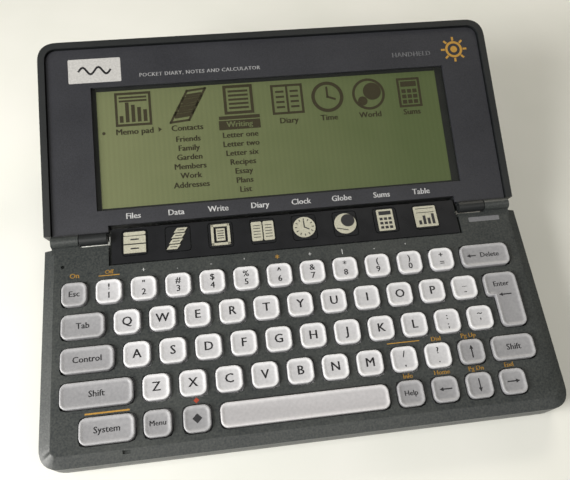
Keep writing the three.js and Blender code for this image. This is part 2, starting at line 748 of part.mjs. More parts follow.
function displayWindow() {
  const x = windowHalfWidth - gap;
  const [lower, upper] = windowSpan;
  return box([-x, x], [lower + gap, upper - gap], [bezelTop - gap - windowThickness, bezelTop - gap]);
}

function displayGlass() {
  const x = windowHalfWidth + glassMargin;
  const [lower, upper] = windowSpan;
  const top = bezelBottom - gap;
  return box([-x, x], [lower - glassMargin, upper + glassMargin], [top - glassThickness, top]);
}

function hingePin(side) {
  const xSpan = [side * (earInner + gap), side * (knuckleOuter - wall / 2 - gap)];
  return rodX(xSpan, [hingeY, hingeZ], pinRadius, 12);
}

// ---------- assembly ----------

function buildBase(parent) {
  node('lower_case', lowerCase(), charcoal, parent);
  node('upper_case', upperCase(), charcoal, parent);
  node('keyboard_backplate', keyboardPlate([backplateBottom, backplateTop], 0), steel, parent);
  node('dome_mat', keyboardPlate([domeBottom, domeTop], 1), silicone, parent);
  node('main_board', mainBoard(), boardGreen, parent);
  node('speaker', floorDisc(speakerPlace, speakerRadius, speakerHeight), portBlack, parent);
  node('backup_cell', floorDisc(backupPlace, backupRadius, backupHeight), plated, parent);
  node('serial_port', serialPort(), portBlack, parent);
  node('power_jack', powerJack(), portBlack, parent);
  for (const [name, side] of [['left', -1], ['right', 1]]) {
    node(`${name}_card_door`, cardDoor(side), charcoal, parent);
    node(`${name}_memory_card`, memoryCard(side), cardGrey, parent);
    node(`front_foot_${name}`, frontFoot(side), rubber, parent);
    node(`lid_hinge_pin_${name}`, hingePin(side), steel, parent);
  }
  screwPlaces.forEach((place, i) => node(`case_screw_${i + 1}`, caseScrew(place), steel, parent));
}

function buildKeyboard(parent) {
  for (const [name, row] of Object.entries(keyRows)) node(name, keyRow(row), letterCap, parent);
  for (const [name, key] of Object.entries(shapedKeys)) node(`${name}_key`, shapedKey(key), key.cap, parent);
  node('enter_key', enterKey(), functionCap, parent);
}

function buildBarrel(parent) {
  node('battery_barrel', batteryBarrel(), charcoal, parent);
  node('battery_door', batteryDoor(), charcoal, parent);
  node('battery_cell_left', batteryCell(gap - bayHalf), cellJacket, parent);
  node('battery_cell_right', batteryCell(gap), cellJacket, parent);
  node('button_strip', buttonStrip(), stripBlack, parent);
  node('rear_foot_left', rearFoot(-1), rubber, parent);
  node('rear_foot_right', rearFoot(1), rubber, parent);
  for (let i = 0; i < buttonCount; i += 1) node(`app_button_${i + 1}`, appButton(i), buttonBeige, parent);
}

function buildLid(parent) {
  node('lid_shell', lidShell(), charcoal, parent);
  node('lid_bezel', lidBezel(), bezelGrey, parent);
  node('display_window', displayWindow(), clearCover, parent);
  node('display_glass', displayGlass(), liquidCrystal, parent);
}

const device = new THREE.Group();
buildBase(device);
buildKeyboard(device);
buildBarrel(device);

const lid = new THREE.Group();
lid.position.set(0, hingeY, hingeZ);
lid.rotation.x = THREE.MathUtils.degToRad(lidRestAngle);
buildLid(lid);
device.add(lid);

// The table line slopes down to the rear in the device frame, so the device leans forward to meet it.
device.rotation.x = -Math.atan(tableSlope);
const object = new THREE.Group();
object.add(device);
object.updateMatrixWorld(true);
const bounds = new THREE.Box3().setFromObject(object, true);
object.position.set(0, -(bounds.min.y + bounds.max.y) / 2, -bounds.min.z);

export default object;
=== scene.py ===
"""A clamshell pocket organiser, open on a pale table: finishes, caps, printing and display.

Pieces on the base are drawn in deck millimetres: x to the right from the middle, y back from the
front edge, z up from the underside. Pieces on the lid are drawn in lid millimetres: x to the right,
y from the hinge line to the far edge, z out of the lid's face.
"""

import json
import math

import bmesh
import bpy
from mathutils import Matrix, Vector


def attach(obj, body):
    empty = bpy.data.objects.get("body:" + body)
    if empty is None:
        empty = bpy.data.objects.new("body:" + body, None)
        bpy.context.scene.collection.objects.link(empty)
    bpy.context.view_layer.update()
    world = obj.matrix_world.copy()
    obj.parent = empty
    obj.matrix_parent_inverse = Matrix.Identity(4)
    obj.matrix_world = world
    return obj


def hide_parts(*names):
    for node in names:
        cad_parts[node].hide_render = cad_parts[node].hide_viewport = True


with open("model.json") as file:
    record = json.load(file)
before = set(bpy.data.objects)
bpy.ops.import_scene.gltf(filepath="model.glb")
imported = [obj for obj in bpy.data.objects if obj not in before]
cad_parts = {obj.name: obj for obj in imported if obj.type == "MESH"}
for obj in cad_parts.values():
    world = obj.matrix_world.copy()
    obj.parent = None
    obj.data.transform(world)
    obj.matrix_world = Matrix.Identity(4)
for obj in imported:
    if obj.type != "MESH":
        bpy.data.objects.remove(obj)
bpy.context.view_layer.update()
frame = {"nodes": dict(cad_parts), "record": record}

MM = 0.001
JOINTS = {joint["name"]: joint for joint in frame["record"]["behaviour"]["joints"]}

# ---------- places ----------

HINGE_Y = 72.8                   # the lid's hinge line, in deck millimetres
HINGE_Z = 12.5
LID_REST = 13.65                 # the lid's face above the deck plane, in degrees
CASE_HALF = 82.5                 # half of the case's width
CAP_TOP = 13.1                   # the rim of a key cap
BARREL = (68.5, 3.3, 8.3)        # centre y, centre z and radius
PRINT = 0.03                     # thickness of a print film
HINGE_POINT = Vector(JOINTS["lid_hinge"]["pos_m"])
PRESS = Vector(JOINTS["esc_key_press"]["axis"])
LEAN = math.atan2(PRESS.y, -PRESS.z)

DECK = (Matrix.Translation(HINGE_POINT) @ Matrix.Rotation(LEAN, 4, "X") @ Matrix.Scale(MM, 4)
        @ Matrix.Translation((0, -HINGE_Y, -HINGE_Z)))
LID = (Matrix.Translation(HINGE_POINT) @ Matrix.Rotation(LEAN + math.radians(LID_REST), 4, "X")
       @ Matrix.Scale(MM, 4))


def node_points(node, place):
    """The corners of a frame node, in the millimetres of one place."""
    back = place.inverted()
    return [back @ vertex.co for vertex in frame["nodes"][node].data.vertices]


def span(points, axis):
    values = [point[axis] for point in points]
    return min(values), max(values)


# ---------- materials ----------

def colour(code):
    """An sRGB hex value as a linear colour."""
    channels = [int(code[i:i + 2], 16) / 255 for i in (0, 2, 4)]
    linear = [c / 12.92 if c <= 0.04045 else ((c + 0.055) / 1.055) ** 2.4 for c in channels]
    return (*linear, 1.0)


def add(tree, kind, inputs=None, **settings):
    """Adds a node, sets its properties, and links or sets its inputs."""
    node = tree.nodes.new(kind)
    for name, value in settings.items():
        setattr(node, name, value)
    for name, value in (inputs or {}).items():
        if isinstance(value, bpy.types.NodeSocket):
            tree.links.new(value, node.inputs[name])
        else:
            node.inputs[name].default_value = value
    return node


def start_material(name):
    material = bpy.data.materials.new(name)
    material.use_nodes = True
    tree = material.node_tree
    return material, tree, tree.nodes["Principled BSDF"]


def object_place(tree):
    return add(tree, "ShaderNodeTexCoord").outputs["Object"]


def grain(tree, size_mm, detail=2.0):
    """A noise whose lumps are about size_mm across."""
    return add(tree, "ShaderNodeTexNoise", {
        "Vector": object_place(tree), "Scale": 1 / (size_mm * MM), "Detail": detail}).outputs["Fac"]


def blend_colours(tree, factor, low, high, start=0.3, end=0.7):
    ramp = add(tree, "ShaderNodeValToRGB", {"Fac": factor})
    ramp.color_ramp.elements[0].position = start
    ramp.color_ramp.elements[1].position = end
    ramp.color_ramp.elements[0].color = low
    ramp.color_ramp.elements[1].color = high
    return ramp.outputs["Color"]


def spread(tree, factor, low, high):
    """Maps a 0 to 1 factor on to a range of values."""
    return add(tree, "ShaderNodeMapRange", {"Value": factor, "To Min": low, "To Max": high}).outputs["Result"]


def relief(tree, shader, height, depth_mm, strength=1.0):
    bump = add(tree, "ShaderNodeBump", {"Height": height, "Distance": depth_mm * MM, "Strength": strength})
    tree.links.new(bump.outputs["Normal"], shader.inputs["Normal"])


def moulded(name, dark, light, rough=(0.42, 0.58), grit_mm=0.45, depth_mm=0.03, ior=1.53):
    """Moulded ABS with a spark-eroded skin: a soft sheen broken up by fine grit, and slow
    patches of handling wear. The real grit is near 0.1 mm; it is drawn coarser so that it shows."""
    material, tree, shader = start_material(name)
    grit = grain(tree, grit_mm, 3.0)
    patches = grain(tree, 18.0)
    mixed = add(tree, "ShaderNodeMath", {0: grit, 1: 0.75}, operation="MULTIPLY").outputs[0]
    slow = add(tree, "ShaderNodeMath", {0: patches, 1: 0.25}, operation="MULTIPLY").outputs[0]
    total = add(tree, "ShaderNodeMath", {0: mixed, 1: slow}, operation="ADD").outputs[0]
    tree.links.new(blend_colours(tree, total, colour(dark), colour(light)), shader.inputs["Base Color"])
    tree.links.new(spread(tree, patches, *rough), shader.inputs["Roughness"])
    shader.inputs["IOR"].default_value = ior
    relief(tree, shader, grit, depth_mm)
    return material


def moulded_cap(name, dark, light):
    """Satin cap plastic with painted light: a painted highlight makes it paler along the rim, and painted
    shade makes it darker in the dish.
    """
    material = moulded(name, dark, light, (0.32, 0.44), 0.9, 0.008)
    tree = material.node_tree
    shader = tree.nodes["Principled BSDF"]
    base = shader.inputs["Base Color"].links[0].from_socket
    up = (DECK.to_3x3() @ Vector((0, 0, 1))).normalized()
    rim = up.dot(DECK @ Vector((0, 0, CAP_TOP)))
    height = add(tree, "ShaderNodeVectorMath", {0: object_place(tree), 1: up}, operation="DOT_PRODUCT")
    # lift is the painted highlight mask: 1 on the rim's top faces, 0 down in the dish.
    lift = add(tree, "ShaderNodeMapRange", {
        "Value": height.outputs["Value"], "From Min": rim - 0.3 * MM, "From Max": rim - 0.06 * MM,
        "To Min": 0.0, "To Max": 1.0}).outputs["Result"]
    # tint paints the light and shade: darker in the dish (painted shade) and paler on the rim (painted
    # highlight).
    tint = blend_colours(tree, lift, (0.84, 0.84, 0.85, 1), (1.12, 1.12, 1.12, 1), 0, 1)
    base_with_painted_light = add(tree, "ShaderNodeMix", {"Factor": 1.0, 6: base, 7: tint}, data_type="RGBA",
                blend_type="MULTIPLY")
    tree.links.new(base_with_painted_light.outputs[2], shader.inputs["Base Color"])
    return material


def printed_ink(name, code, rough=0.5):
    """Pad-printed ink: an opaque, slightly uneven film."""
    material, tree, shader = start_material(name)
    worn = grain(tree, 0.6)
    base = colour(code)
    faded = tuple(0.82 * channel for channel in base[:3]) + (1.0,)
    tree.links.new(blend_colours(tree, worn, faded, base), shader.inputs["Base Color"])
    shader.inputs["Roughness"].default_value = rough
    return material


def turned_steel(name, code, rough=0.32):
    """Plain rolled steel: fine lines along X that stretch the highlight."""
    material, tree, shader = start_material(name)
    stretched = add(tree, "ShaderNodeMapping", {"Vector": object_place(tree), "Scale": (60, 2500, 2500)})
    lines = add(tree, "ShaderNodeTexNoise", {"Vector": stretched.outputs["Vector"], "Scale": 1.0})
    shader.inputs["Base Color"].default_value = colour(code)
    shader.inputs["Metallic"].default_value = 1.0
    tree.links.new(spread(tree, lines.outputs["Fac"], rough - 0.08, rough + 0.1), shader.inputs["Roughness"])
    relief(tree, shader, lines.outputs["Fac"], 0.004)
    return material


def rubber_compound(name, code):
    """Filled rubber: matt, with a dusty bloom."""
    material, tree, shader = start_material(name)
    bloom = grain(tree, 1.2)
    base = colour(code)
    dusty = tuple(min(1, 1.6 * channel) for channel in base[:3]) + (1.0,)
    tree.links.new(blend_colours(tree, bloom, base, dusty), shader.inputs["Base Color"])
    shader.inputs["Roughness"].default_value = 0.85
    relief(tree, shader, grain(tree, 0.3), 0.02)
    return material


def polished_film(name, code, rough=0.22):
    """Hard-coated polyester film over dark ink: smooth, with a long soft highlight."""
    material, tree, shader = start_material(name)
    ripple = grain(tree, 6.0)
    base = colour(code)
    lifted = tuple(1.25 * channel for channel in base[:3]) + (1.0,)
    tree.links.new(blend_colours(tree, ripple, base, lifted), shader.inputs["Base Color"])
    tree.links.new(spread(tree, ripple, rough, rough + 0.12), shader.inputs["Roughness"])
    relief(tree, shader, grain(tree, 0.5), 0.008)
    return material


def solder_mask(name):
    """Glass-epoxy board under green solder mask, with a hint of the weave and of copper tracks."""
    material, tree, shader = start_material(name)
    weave = add(tree, "ShaderNodeTexChecker", {"Vector": object_place(tree), "Scale": 1 / (0.8 * MM)})
    tree.links.new(blend_colours(tree, weave.outputs["Fac"], colour("1F4A2C"), colour("2B5C39"), 0, 1),
                   shader.inputs["Base Color"])
    shader.inputs["Roughness"].default_value = 0.35
    relief(tree, shader, weave.outputs["Fac"], 0.01)
    return material


def cell_sleeve(name):
    """Shrunk polymer sleeve on a dry cell: glossy, dark with a copper band at one end."""
    material, tree, shader = start_material(name)
    ridges = add(tree, "ShaderNodeTexWave", {"Vector": object_place(tree), "Scale": 12.0, "Distortion": 1.0})
    tree.links.new(blend_colours(tree, ridges.outputs["Fac"], colour("20201F"), colour("9A6B34"), 0.55, 0.6),
                   shader.inputs["Base Color"])
    shader.inputs["Roughness"].default_value = 0.25
    return material


# The glass's colour at its left and at its right edge; the darker right is painted shade.
LCD_LEFT = "777D5A"
LCD_RIGHT = "57633F"
LCD_HALF = 0.066                 # half of the glass's width, in metres
DOT_PITCH_MM = 0.28


def liquid_crystal(name):
    """Reflective supertwist glass: olive with random patches, with painted shade that makes it greener and
    darker to the right, and a faint dot matrix.
    """
    material, tree, shader = start_material(name)
    place = object_place(tree)
    along = add(tree, "ShaderNodeSeparateXYZ", {"Vector": place}).outputs["X"]
    across = add(tree, "ShaderNodeMapRange", {"Value": along, "From Min": -LCD_HALF, "From Max": LCD_HALF})
    patch = grain(tree, 14.0)
    # Painted shade: the colour darkens steadily from left to right, with random patches over it.
    patches_and_right_shade = add(tree, "ShaderNodeMath", {0: patch, 1: 0.25, 2: across.outputs["Result"]},
                operation="MULTIPLY_ADD")
    field = blend_colours(tree, patches_and_right_shade.outputs[0], colour(LCD_LEFT), colour(LCD_RIGHT), 0.15, 1.1)
    columns = add(tree, "ShaderNodeTexWave", {"Vector": place, "Scale": 0.05 / (DOT_PITCH_MM * MM)},
                  bands_direction="X")
    dots = add(tree, "ShaderNodeMix", {"Factor": 0.03, 6: field, 7: columns.outputs["Color"]},
               data_type="RGBA", blend_type="OVERLAY")
    tree.links.new(dots.outputs[2], shader.inputs["Base Color"])
    shader.inputs["Roughness"].default_value = 0.3
    return material


def clear_acrylic(name):
    """Cast acrylic cover: nearly invisible, with a crisp reflection."""
    material, tree, shader = start_material(name)
    shader.inputs["Base Color"].default_value = colour("2A2E26")
    shader.inputs["IOR"].default_value = 1.49
    shader.inputs["Alpha"].default_value = 0.045
    smears = grain(tree, 9.0)
    tree.links.new(spread(tree, smears, 0.05, 0.16), shader.inputs["Roughness"])
    return material


def table_paint(name):
    """A plain pale table top."""
    material, tree, shader = start_material(name)
    tree.links.new(blend_colours(tree, grain(tree, 40.0), colour("EDEEE8"), colour("F3F3EE")),
                   shader.inputs["Base Color"])
    shader.inputs["Roughness"].default_value = 0.7
    return material


CASE_ABS = moulded("charcoal_case_abs", "22272A", "484B49", (0.36, 0.5), 0.6, 0.035)
BEZEL_ABS = moulded("bezel_abs", "26272C", "36373D", (0.34, 0.44))
# The lid's plastic is the case's charcoal, drawn darker: painted shade for the near-black look of the lid's
# rim.
SHADED_LID_ABS = moulded("charcoal_lid_abs_painted_shade", "131618", "202325", (0.42, 0.55))
DOOR_ABS = moulded("charcoal_door_abs", "35393A", "464B4B", grit_mm=0.6)
LETTER_ABS = moulded_cap("letter_cap_abs", "CBCBCF", "DCDCDF")
FUNCTION_ABS = moulded_cap("function_cap_abs", "9A9A9E", "ABABAE")
SPACE_ABS = moulded_cap("space_cap_abs", "BEBDC0", "CCCACD")
STRIP_FILM = polished_film("strip_film", "1C1D20")
FRAME_FILM = polished_film("display_frame_ink", "191B1A", 0.35)
BUTTON_INK = moulded("button_beige_ink", "A7A594", "C6C4B4", (0.3, 0.45), 0.5, 0.02)
KEY_INK = printed_ink("dark_legend_ink", "2A2A2E")
GOLD_INK = printed_ink("gold_legend_ink", "B58A3A")
RED_INK = printed_ink("red_legend_ink", "A5402A")
WHITE_INK = printed_ink("white_legend_ink", "D9DADC")
GREY_INK = printed_ink("grey_legend_ink", "77787C")
PALE_INK = printed_ink("pale_legend_ink", "B4B5B8")
SILVER_INK = printed_ink("silver_badge_ink", "C4C3C2", 0.3)
SEGMENT_INK = printed_ink("lit_segment", "332D14", 0.6)
FOOT_RUBBER = rubber_compound("foot_rubber", "1B1B1C")
DOME_SILICONE = rubber_compound("dome_silicone", "85888A")
PORT_NYLON = moulded("port_nylon", "101012", "1C1C1F", (0.4, 0.5), 0.5)
CARD_ABS = moulded("card_abs", "5C5E62", "6C6E72")
HINGE_STEEL = turned_steel("hinge_steel", "A8ABAD")
CELL_STEEL = turned_steel("cell_can_steel", "C4C6C8", 0.2)
BOARD_MASK = solder_mask("solder_mask")
CELL_SLEEVE = cell_sleeve("cell_sleeve")
DISPLAY_GLASS = liquid_crystal("liquid_crystal_glass")
COVER_ACRYLIC = clear_acrylic("cover_acrylic")

NODE_FINISH = {
    "lower_case": CASE_ABS, "upper_case": CASE_ABS, "lid_shell": SHADED_LID_ABS, "battery_barrel": CASE_ABS,
    "battery_door": DOOR_ABS, "left_card_door": DOOR_ABS, "right_card_door": DOOR_ABS,
    "lid_bezel": BEZEL_ABS, "button_strip": STRIP_FILM, "display_glass": DISPLAY_GLASS,
    "display_window": COVER_ACRYLIC, "main_board": BOARD_MASK, "dome_mat": DOME_SILICONE,
    "keyboard_backplate": HINGE_STEEL, "speaker": PORT_NYLON, "serial_port": PORT_NYLON,
    "power_jack": PORT_NYLON, "backup_cell": CELL_STEEL, "battery_cell_left": CELL_SLEEVE,
    "battery_cell_right": CELL_SLEEVE, "left_memory_card": CARD_ABS, "right_memory_card": CARD_ABS,
    "front_foot_left": FOOT_RUBBER, "front_foot_right": FOOT_RUBBER, "rear_foot_left": FOOT_RUBBER,
    "rear_foot_right": FOOT_RUBBER, "lid_hinge_pin_left": HINGE_STEEL, "lid_hinge_pin_right": HINGE_STEEL,
    "case_screw_1": HINGE_STEEL, "case_screw_2": HINGE_STEEL, "case_screw_3": HINGE_STEEL,
    "case_screw_4": HINGE_STEEL,
}


def node_finish(name):
    if name in NODE_FINISH:
        return NODE_FINISH[name]
    if name.startswith("app_button"):
        return BUTTON_INK
    if name == "space_key":
        return SPACE_ABS
    return LETTER_ABS if name.endswith("_keys") else FUNCTION_ABS


def finish_frame_nodes():
    for name, node in frame["nodes"].items():
        node.data.materials.clear()
        node.data.materials.append(node_finish(name))


# ---------- making a piece ----------

SMOOTH_BELOW = math.radians(32)


def shade(bm):
    for face in bm.faces:
        face.smooth = True
    for edge in bm.edges:
        edge.smooth = edge.calc_face_angle(0.0) < SMOOTH_BELOW


def broad_normals(mesh):
    """Corner normals weighted by face area, so that broad flats stay flat beside their rolled edges."""
    bm = bmesh.new()
    bm.from_mesh(mesh)
    normals = [None] * len(mesh.loops)
    for vertex in bm.verts:
        left = set(vertex.link_faces)
        while left:
            fan, front = set(), [left.pop()]
            while front:
                face = front.pop()
                fan.add(face)
                for edge in face.edges:
                    if edge.smooth and vertex in edge.verts:
                        near = [other for other in edge.link_faces if other in left]
                        left.difference_update(near)
                        front += near
            total = sum((face.normal * face.calc_area() for face in fan), Vector()).normalized()
            for loop in vertex.link_loops:
                if loop.face in fan:
                    normals[loop.index] = total
    bm.free()
    mesh.normals_split_custom_set(normals)


def make_piece(name, bm, material, body, place=None, replaces=(), broad=False):
    """Turns a bmesh into an object of the shared frame that rides on a body."""
    if place is not None:
        bm.transform(place)
    shade(bm)
    mesh = bpy.data.meshes.new(name)
    bm.to_mesh(mesh)
    bm.free()
    if broad:
        broad_normals(mesh)
    mesh.materials.append(material)
    piece = bpy.data.objects.new(name, mesh)
    bpy.context.scene.collection.objects.link(piece)
    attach(piece, body)
    if replaces:
        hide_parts(*replaces)
    return piece


def pour(target, source):
    """Adds one bmesh to another and frees the first."""
    mesh = bpy.data.meshes.new("poured")
    source.to_mesh(mesh)
    source.free()
    target.from_mesh(mesh)
    bpy.data.meshes.remove(mesh)


def flat_outline(corners, radius=0.0, z=0.0, steps=5):
    """A bmesh with one face: an outline whose corners are rounded, by one radius or by one each."""
    bm = bmesh.new()
    points = [bm.verts.new((x, y, z)) for x, y in corners]
    bm.faces.new(points)
    radii = [radius] * len(points) if isinstance(radius, (int, float)) else radius
    for point, size in zip(points, radii):
        if size:
            bmesh.ops.bevel(bm, geom=[point], offset=size, offset_type="OFFSET", segments=steps,
                            profile=0.5, affect="VERTICES", material=-1, clamp_overlap=False)
    return bm


def raise_outline(bm, height):
    """Gives a flat outline its thickness and returns its top face."""
    bottom = bm.faces[:]
    lifted = bmesh.ops.extrude_face_region(bm, geom=bottom, use_keep_orig=True)["geom"]
    raised = [item for item in lifted if isinstance(item, bmesh.types.BMVert)]
    bmesh.ops.translate(bm, verts=raised, vec=(0, 0, height))
    bmesh.ops.recalc_face_normals(bm, faces=bm.faces[:])
    bm.normal_update()
    return max(bm.faces, key=lambda face: (face.normal.z > 0.9, face.calc_center_median().z))


def box_corners(x0, x1, y0, y1):
    return [(x0, y0), (x1, y0), (x1, y1), (x0, y1)]


def slab(x0, x1, y0, y1, z0, z1, radius=0.0, steps=3):
    bm = flat_outline(box_corners(x0, x1, y0, y1), radius, z0, steps)
    raise_outline(bm, z1 - z0)
    return bm


def disc(x, y, radius, z0, z1, sides=32):
    bm = bmesh.new()
    bmesh.ops.create_circle(bm, cap_ends=True, radius=radius, segments=sides,
                            matrix=Matrix.Translation((x, y, z0)))
    raise_outline(bm, z1 - z0)
    return bm


def ring(x, y, outer, inner, z0, z1, sides=32):
    """A flat ring: a disc whose rim is kept as its inside is opened."""
    bm = bmesh.new()
    bmesh.ops.create_circle(bm, cap_ends=True, radius=outer, segments=sides,
                            matrix=Matrix.Translation((x, y, z0)))
    middle = bm.faces[:]
    bmesh.ops.inset_region(bm, faces=middle, thickness=outer - inner, use_even_offset=True,
                           use_boundary=True)
    bmesh.ops.delete(bm, geom=middle, context="FACES")
    raise_outline(bm, z1 - z0)
    return bm


def softened_copy(node, width_mm, sharp_deg=40):
    """A copy of a frame node with its loose triangles merged and its outer edges rolled over."""
    bm = bmesh.new()
    bm.from_mesh(frame["nodes"][node].data)
    bmesh.ops.remove_doubles(bm, verts=bm.verts[:], dist=0.002 * MM)
    sharp = math.radians(sharp_deg)
    hard = [edge for edge in bm.edges if edge.is_convex and edge.calc_face_angle(0.0) > sharp]
    bmesh.ops.bevel(bm, geom=hard, offset=width_mm * MM, offset_type="OFFSET", segments=2,
                    profile=0.5, affect="EDGES", material=-1, clamp_overlap=True)
    return bm


def soften_shells():
    """The mouldings that show: the same shapes as the frame's, with moulded edges."""
    for node, body, width, slot in (
            ("upper_case", "base", 0.2, "case_plastic"), ("lower_case", "base", 0.25, "case_plastic"),
            ("lid_shell", "lid", 0.3, "case_plastic"), ("lid_bezel", "lid", 0.2, "bezel_plastic"),
            ("left_card_door", "left_card_door", 0.15, "case_plastic"),
            ("right_card_door", "right_card_door", 0.15, "case_plastic"),
            ("battery_barrel", "barrel", 0.15, "case_plastic"),
            ("battery_door", "barrel", 0.1, "case_plastic")):
        make_piece(f"moulded_{node}", softened_copy(node, width), NODE_FINISH[node], body,
                   replaces=(node,), broad=True)


def grip_ribs():
    """Raised ribs for a fingertip, on the battery door and on both card doors."""
    centre_y, centre_z, radius = BARREL
    ribs = []
    for turn in range(-30, 1, 6):
        rib = slab(-9, 9, -0.35, 0.35, radius - 0.2, radius + 0.22, 0.3)
        around = Matrix.Rotation(math.radians(turn - 90), 4, "X")
        rib.transform(Matrix.Translation((0, centre_y, centre_z)) @ around)
        ribs.append(rib)
    make_piece("battery_door_ribs", gather(ribs), DOOR_ABS, "barrel", DECK)
    for name, side in (("left_card_door", -1), ("right_card_door", 1)):
        face = side * (CASE_HALF - 0.35)
        ribs = [slab(min(face, face + side * 0.2), max(face, face + side * 0.2), y, y + 0.5, 4.2, 6.4)
                for y in (38.0, 39.2, 40.4, 41.6)]
        make_piece(f"{name}_ribs", gather(ribs), DOOR_ABS, name, DECK)


def rating_label():
    """A blank foil label on the underside."""
    foil = slab(-22, 18, 8, 22, -PRINT, 0, 1.0)
    make_piece("rating_label", foil, SILVER_INK, "base", DECK)


# ---------- printing ----------


def lettering(text, size, x, y, z, spacing=1.0, weight=0.02):
    """A word as a flat mesh, centred on its own height and struck twice to make it bolder."""
    curve = bpy.data.curves.new("word", "FONT")
    curve.body = text
    curve.size = size
    curve.align_x = "CENTER"
    curve.align_y = "CENTER"
    curve.extrude = PRINT
    curve.resolution_u = 2
    curve.space_character = spacing
    word = bpy.data.objects.new("word", curve)
    bpy.context.scene.collection.objects.link(word)
    bpy.context.view_layer.update()
    mesh = bpy.data.meshes.new_from_object(word)
    bpy.data.objects.remove(word)
    bpy.data.curves.remove(curve)
    mesh.transform(Matrix.Translation((x - weight * size, y, z)))
    bm = bmesh.new()
    bm.from_mesh(mesh)
    mesh.transform(Matrix.Translation((2 * weight * size, 0, 0)))
    bm.from_mesh(mesh)
    bpy.data.meshes.remove(mesh)
    return bm


def arrow(x, y, z, length, angle_deg, head=1.3, stem=0.4):
    """A printed arrow that points along X before it is turned."""
    tip = length / 2
    neck = tip - head
    corners = [(-tip, -stem / 2), (neck, -stem / 2), (neck, -head / 2), (tip, 0), (neck, head / 2),
               (neck, stem / 2), (-tip, stem / 2)]
    bm = flat_outline(corners)
    raise_outline(bm, PRINT)
    bm.transform(Matrix.Translation((x, y, z)) @ Matrix.Rotation(math.radians(angle_deg), 4, "Z"))
    return bm


def stroke(points, z, width, height=PRINT, closed=False):
    """A drawn line: one narrow bar for each step between points."""
    whole = bmesh.new()
    ends = points[1:] + points[:1] if closed else points[1:]
    for (x0, y0), (x1, y1) in zip(points, ends):
        run = math.hypot(x1 - x0, y1 - y0)
        bar = slab(-width / 2, run + width / 2, -width / 2, width / 2, z, z + height)
        turn = Matrix.Rotation(math.atan2(y1 - y0, x1 - x0), 4, "Z")
        bar.transform(Matrix.Translation((x0, y0, 0)) @ turn)
        pour(whole, bar)
    return whole


def rays(x, y, z, inner, outer, width, count):
    """Short strokes that point outwards from a centre, evenly spread round it."""
    turns = [k * 2 * math.pi / count for k in range(count)]
    return [stroke([(x + inner * math.cos(turn), y + inner * math.sin(turn)),
                    (x + outer * math.cos(turn), y + outer * math.sin(turn))], z, width) for turn in turns]


def gather(parts):
    whole = bmesh.new()
    for part in parts:
        pour(whole, part)
    return whole


# ---------- key caps ----------

KEY_WIDTH = 8.4
KEY_DEPTH = 8.1
KEY_CORNER = 2.3
STEP_CORNER = 1.6                # the outer corner of the Enter key's step
SHOULDER_DROP = 0.4              # the cap's top edge starts this far below its rim
WEB_TOP = 10.5
WEB_BOTTOM = 9.8
WEB_REACH = 0.6                  # the web goes this far past its caps
ABOVE_WEB = WEB_TOP + 0.2        # points higher than this belong to a cap
# Steps of the cap from its side to the floor of its dish, as (inwards, upwards).
CAP_STEPS = ((0.06, 0.2), (0.12, 0.13), (0.18, 0.05), (0.2, 0.0), (0.25, -0.09), (0.35, -0.13), (0.35, -0.06))
DISH = sum(rise for _, rise in CAP_STEPS) - SHOULDER_DROP


def key_cap(corners, top, radius=KEY_CORNER):
    """One cap: rounded in plan, rolled over at its rim and dished on top."""
    bm = flat_outline(corners, radius, WEB_BOTTOM, 6)
    crown = raise_outline(bm, top - SHOULDER_DROP - WEB_BOTTOM)
    for inwards, upwards in CAP_STEPS:
        bmesh.ops.inset_region(bm, faces=[crown], thickness=inwards, depth=upwards, use_even_offset=True)
    return bm


def cap_corners(points):
    """The plan corners and the top height of a frame cap, read above its flange."""
    top = max(point.z for point in points)
    upper = [point for point in points if point.z > ABOVE_WEB]
    return span(upper, 0), span(upper, 1), top


ROW_LEGENDS = {
    "number_row_keys": ["1!", '2"', "3#", "4$", "5%", "6^", "7&", "8*", "9(", "0)", "=+"],
    "top_row_keys": list("QWERTYUIOP") + ["-_"],
    "home_row_keys": list("ASDFGHJKL") + [";:", "'~"],
    "bottom_row_keys": list("ZXCVBNM") + [",/", ".?"],
}
LETTER_SIZE = 4.1
PAIR_SIZE = 3.0
PAIR_SHIFT = 1.45
WORD_SIZE = 2.5
CAPTION_SIZE = 2.8
NARROW_CAPTION_SIZE = 2.3        # a long word on a cap no wider than a letter's
LEGEND_WORDS = {"esc": "Esc", "tab": "Tab", "control": "Control", "shift_left": "Shift", "menu": "Menu",
                "system": "System", "help": "Help", "shift_right": "Shift"}


def cap_legend(text, x, y, z):
    if len(text) == 1:
        return [lettering(text, LETTER_SIZE, x, y, z)]
    lower, upper = text
    return [lettering(lower, PAIR_SIZE, x, y - PAIR_SHIFT, z),
            lettering(upper, PAIR_SIZE, x, y + PAIR_SHIFT, z)]


def letter_rows():
    """Four rows of square caps, each row joined by the web under it."""
    for node, legends in ROW_LEGENDS.items():
        (x0, x1), (y0, y1), top = cap_corners(node_points(node, DECK))
        middle = (y0 + y1) / 2
        pitch = (x1 - x0 - KEY_WIDTH) / (len(legends) - 1)
        caps = [slab(x0 - WEB_REACH, x1 + WEB_REACH, y0 - WEB_REACH, y1 + WEB_REACH, WEB_BOTTOM, WEB_TOP)]
        prints = []
        for i, legend in enumerate(legends):
            left = x0 + i * pitch
            caps.append(key_cap(box_corners(left, left + KEY_WIDTH, y0, y1), top))
            prints += cap_legend(legend, left + KEY_WIDTH / 2, middle, top + DISH)
        row = node.removesuffix("_keys")
        make_piece(f"{row}_caps", gather(caps), LETTER_ABS, node, DECK, (node,))
        make_piece(f"{row}_legends", gather(prints), KEY_INK, node, DECK)


